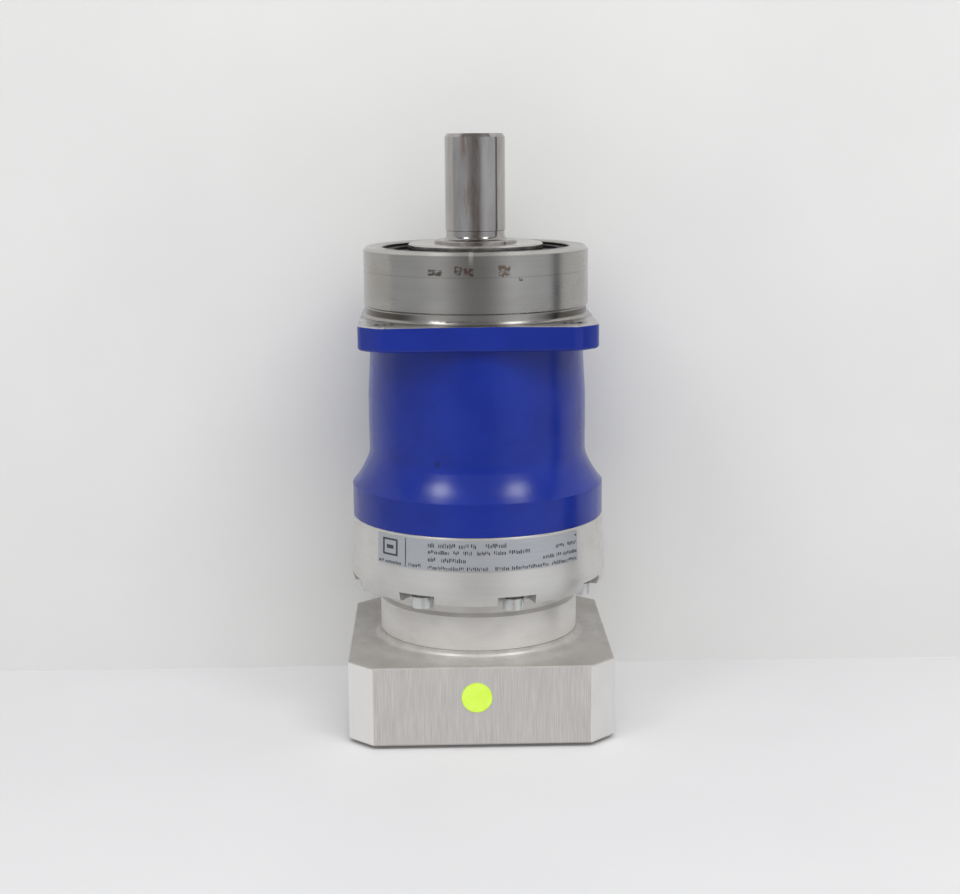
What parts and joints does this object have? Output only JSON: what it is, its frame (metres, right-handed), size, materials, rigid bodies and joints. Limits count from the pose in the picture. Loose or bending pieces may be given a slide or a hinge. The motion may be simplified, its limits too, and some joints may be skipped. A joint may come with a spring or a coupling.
{
  "type": "inline planetary gear reducer",
  "caption": "Inline planetary gear reducer: plain steel output shaft, round register, square flange, blue barrel, aluminium input housing with clamping hub and a square motor adapter plate.",
  "frame": {"origin": "centre of the underside of the square motor adapter plate", "axes": "+Z along the output shaft, away from the motor; -Y is the side with the nameplate and the marking dot"},
  "size_m": [0.07, 0.0702, 0.157],
  "materials": {
    "blue_paint": "semi-gloss blue paint outside; register and flange face are bare ground steel",
    "cast_aluminium": "fine turned satin",
    "plate_aluminium": "brushed sides, turned top face",
    "ground_steel": "ground and polished",
    "bearing_steel": "polished bearing steel",
    "gear_steel": "ground tooth flanks",
    "dark_steel": "turned, lightly oiled",
    "pressed_steel": "pressed sheet, satin",
    "bronze": "sintered bronze, dull",
    "rubber": "matt black",
    "screw_steel": "zinc plated, dull",
    "spring_steel": "phosphated",
    "plate_metal": "satin, darker printing",
    "sticker": "yellow-green printed film",
    "black_plastic": "moulded, fine grain"
  },
  "bodies": {
    "housing": {"output_housing": "blue_paint", "ring_gear": "gear_steel", "input_housing": "cast_aluminium", "adapter_plate": "plate_aluminium", "housing_screws": "screw_steel", "lock_washers": "screw_steel", "adapter_screws": "screw_steel", "housing_o_ring": "rubber", "nameplate": "plate_metal", "marking_dot": "sticker", "front_bearing_cup": "bearing_steel", "rear_bearing_cup": "bearing_steel", "output_seal_case": "pressed_steel", "output_seal_lip": "rubber", "output_seal_spring": "pressed_steel", "input_bearing_outer": "bearing_steel", "input_seal_case": "pressed_steel", "input_seal_lip": "rubber", "bearing_circlip": "spring_steel"},
    "output": {"output_shaft": "ground_steel", "preload_ring": "ground_steel", "bearing_spacer": "dark_steel", "front_bearing_cone": "bearing_steel", "rear_bearing_cone": "bearing_steel", "planet_pins_2": "dark_steel", "needles_2": "bearing_steel", "thrust_washers_2": "bronze"},
    "carrier_stage_1": {"carrier_1": "dark_steel", "sun_gear_2": "gear_steel", "planet_pins_1": "dark_steel", "needles_1": "bearing_steel", "thrust_washers_1": "bronze"},
    "input": {"clamping_hub": "dark_steel", "clamp_screw": "screw_steel", "sun_gear_1": "gear_steel", "input_bearing_inner": "bearing_steel", "hub_circlip": "spring_steel"},
    "planet_gear_1a": {"planet_1a": "gear_steel"},
    "planet_gear_1b": {"planet_1b": "gear_steel"},
    "planet_gear_1c": {"planet_1c": "gear_steel"},
    "planet_gear_2a": {"planet_2a": "gear_steel"},
    "planet_gear_2b": {"planet_2b": "gear_steel"},
    "planet_gear_2c": {"planet_2c": "gear_steel"},
    "front_cage": {"front_bearing_cage": "pressed_steel", "front_bearing_rollers": "bearing_steel"},
    "rear_cage": {"rear_bearing_cage": "pressed_steel", "rear_bearing_rollers": "bearing_steel"},
    "input_cage": {"input_bearing_cage": "pressed_steel", "input_bearing_balls": "bearing_steel"},
    "plug": {"access_plug": "black_plastic"}
  },
  "joints": [
    {"name": "output_spin", "type": "hinge", "parent": "housing", "child": "output", "pos_m": [0, 0, 0.1], "axis": [0, 0, 1], "continuous": true},
    {"name": "carrier_1_spin", "type": "hinge", "parent": "housing", "child": "carrier_stage_1", "pos_m": [0, 0, 0.06], "axis": [0, 0, 1], "continuous": true},
    {"name": "input_spin", "type": "hinge", "parent": "housing", "child": "input", "pos_m": [0, 0, 0.02], "axis": [0, 0, 1], "continuous": true},
    {"name": "planet_1a_spin", "type": "hinge", "parent": "carrier_stage_1", "child": "planet_gear_1a", "pos_m": [0.0156, 0, 0.0525], "axis": [0, 0, 1], "continuous": true},
    {"name": "planet_1b_spin", "type": "hinge", "parent": "carrier_stage_1", "child": "planet_gear_1b", "pos_m": [-0.0078, 0.01351, 0.0525], "axis": [0, 0, 1], "continuous": true},
    {"name": "planet_1c_spin", "type": "hinge", "parent": "carrier_stage_1", "child": "planet_gear_1c", "pos_m": [-0.0078, -0.01351, 0.0525], "axis": [0, 0, 1], "continuous": true},
    {"name": "planet_2a_spin", "type": "hinge", "parent": "output", "child": "planet_gear_2a", "pos_m": [0.01463, 0, 0.076], "axis": [0, 0, 1], "continuous": true},
    {"name": "planet_2b_spin", "type": "hinge", "parent": "output", "child": "planet_gear_2b", "pos_m": [-0.00731, 0.01267, 0.076], "axis": [0, 0, 1], "continuous": true},
    {"name": "planet_2c_spin", "type": "hinge", "parent": "output", "child": "planet_gear_2c", "pos_m": [-0.00731, -0.01267, 0.076], "axis": [0, 0, 1], "continuous": true},
    {"name": "front_cage_spin", "type": "hinge", "parent": "housing", "child": "front_cage", "pos_m": [0, 0, 0.1125], "axis": [0, 0, 1], "continuous": true},
    {"name": "rear_cage_spin", "type": "hinge", "parent": "housing", "child": "rear_cage", "pos_m": [0, 0, 0.094], "axis": [0, 0, 1], "continuous": true},
    {"name": "input_cage_spin", "type": "hinge", "parent": "housing", "child": "input_cage", "pos_m": [0, 0, 0.037], "axis": [0, 0, 1], "continuous": true},
    {"name": "plug_pull", "type": "slide", "parent": "housing", "child": "plug", "axis": [0, 1, 0], "range_m": [0, 0.015]}
  ],
  "couplings": [
    {"joint": "carrier_1_spin", "follows": "output_spin", "ratio": 5},
    {"joint": "input_spin", "follows": "output_spin", "ratio": 20},
    {"joint": "planet_1a_spin", "follows": "output_spin", "ratio": -15},
    {"joint": "planet_1b_spin", "follows": "output_spin", "ratio": -15},
    {"joint": "planet_1c_spin", "follows": "output_spin", "ratio": -15},
    {"joint": "planet_2a_spin", "follows": "output_spin", "ratio": -2.6667},
    {"joint": "planet_2b_spin", "follows": "output_spin", "ratio": -2.6667},
    {"joint": "planet_2c_spin", "follows": "output_spin", "ratio": -2.6667},
    {"joint": "front_cage_spin", "follows": "output_spin", "ratio": 0.44665},
    {"joint": "rear_cage_spin", "follows": "output_spin", "ratio": 0.44665},
    {"joint": "input_cage_spin", "follows": "output_spin", "ratio": 8.0645}
  ]
}
